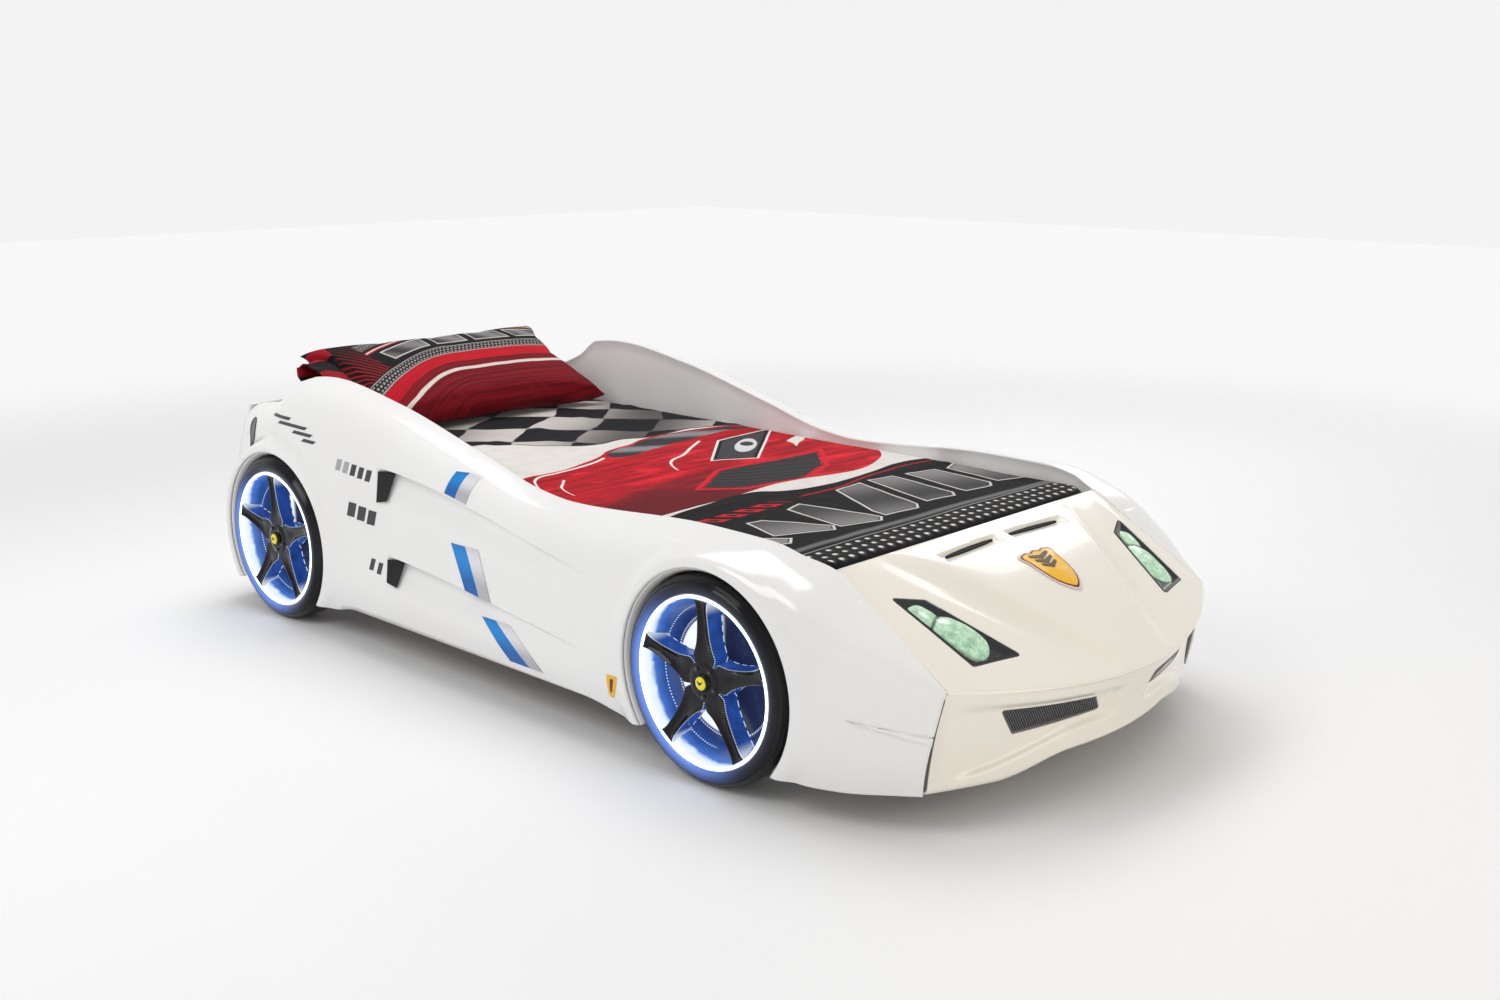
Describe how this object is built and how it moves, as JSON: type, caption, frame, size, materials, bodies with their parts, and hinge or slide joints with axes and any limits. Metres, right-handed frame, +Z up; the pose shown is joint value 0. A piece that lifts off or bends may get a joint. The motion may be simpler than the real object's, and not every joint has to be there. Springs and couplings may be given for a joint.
{
  "type": "car bed",
  "caption": "Child's single bed shaped like a low race car: moulded body over a slatted wooden frame, lit show wheels, mattress, spread and pillow.",
  "frame": {"origin": "on the floor under the middle of the bed's overall box", "axes": "+Z up; +Y from the nose to the pillow end, the longest way; +X to the right when looking from the nose towards the pillow"},
  "size_m": [1.1692, 2.3346, 0.6474],
  "materials": {
    "white_gloss_plastic": "glossy moulded sheet",
    "black_gloss_plastic": "glossy black moulding",
    "dark_mesh_plastic": "dark pressed mesh and ribs",
    "blue_lit_plastic": "dark dish washed by blue light",
    "lit_white_diffuser": "opal strip over small lamps, lit",
    "green_white_lens": "pale green lens, lit",
    "yellow_badge": "printed yellow plate",
    "pine": "planed softwood",
    "dark_board": "dark faced board",
    "mattress_cotton": "plain ticking over foam",
    "printed_cotton": "printed soft fabric"
  },
  "bodies": {
    "bed": {"bonnet_badge": "yellow_badge", "centre_beam": "pine", "centre_leg": "pine", "foot_board": "dark_board", "front_grille_left": "dark_mesh_plastic", "front_grille_right": "dark_mesh_plastic", "head_board": "dark_board", "headlight_bezel_left": "black_gloss_plastic", "headlight_bezel_right": "black_gloss_plastic", "headlight_lens_left": "green_white_lens", "headlight_lens_right": "green_white_lens", "hub_cap_front_left": "yellow_badge", "hub_cap_front_right": "yellow_badge", "hub_cap_rear_left": "yellow_badge", "hub_cap_rear_right": "yellow_badge", "lamp_control_box": "black_gloss_plastic", "light_ring_front_left": "lit_white_diffuser", "light_ring_front_right": "lit_white_diffuser", "light_ring_rear_left": "lit_white_diffuser", "light_ring_rear_right": "lit_white_diffuser", "nose_panel": "white_gloss_plastic", "rim_front_left": "black_gloss_plastic", "rim_front_right": "black_gloss_plastic", "rim_rear_left": "black_gloss_plastic", "rim_rear_right": "black_gloss_plastic", "scoop_grille_lower_left": "dark_mesh_plastic", "scoop_grille_lower_right": "dark_mesh_plastic", "scoop_grille_upper_left": "dark_mesh_plastic", "scoop_grille_upper_right": "dark_mesh_plastic", "side_board_left": "pine", "side_board_right": "pine", "side_panel_left": "white_gloss_plastic", "side_panel_right": "white_gloss_plastic", "slat_1": "pine", "slat_2": "pine", "slat_3": "pine", "slat_4": "pine", "slat_5": "pine", "slat_6": "pine", "slat_7": "pine", "slat_8": "pine", "slat_9": "pine", "slat_cleat_left": "pine", "slat_cleat_right": "pine", "tail_light_left": "dark_mesh_plastic", "tail_light_right": "dark_mesh_plastic", "tail_panel": "white_gloss_plastic", "tyre_front_left": "black_gloss_plastic", "tyre_front_right": "black_gloss_plastic", "tyre_rear_left": "black_gloss_plastic", "tyre_rear_right": "black_gloss_plastic", "wheel_pan_front_left": "blue_lit_plastic", "wheel_pan_front_right": "blue_lit_plastic", "wheel_pan_rear_left": "blue_lit_plastic", "wheel_pan_rear_right": "blue_lit_plastic"},
    "mattress": {"mattress": "mattress_cotton"},
    "bedspread": {"bedspread": "printed_cotton"},
    "pillow": {"pillow": "printed_cotton"},
    "light_switch": {"light_switch": "black_gloss_plastic"}
  },
  "joints": [
    {"name": "mattress_lift", "type": "slide", "parent": "bed", "child": "mattress", "axis": [0, 0, 1], "range_m": [0, 0.5]},
    {"name": "bedspread_lift", "type": "slide", "parent": "mattress", "child": "bedspread", "axis": [0, 0, 1], "range_m": [0, 0.4]},
    {"name": "pillow_lift", "type": "slide", "parent": "bedspread", "child": "pillow", "axis": [0, 0, 1], "range_m": [0, 0.4]},
    {"name": "light_switch_rock", "type": "hinge", "parent": "bed", "child": "light_switch", "pos_m": [0.3, 1.09875, 0.185], "axis": [1, 0, 0], "range_deg": [-8, 8]}
  ]
}
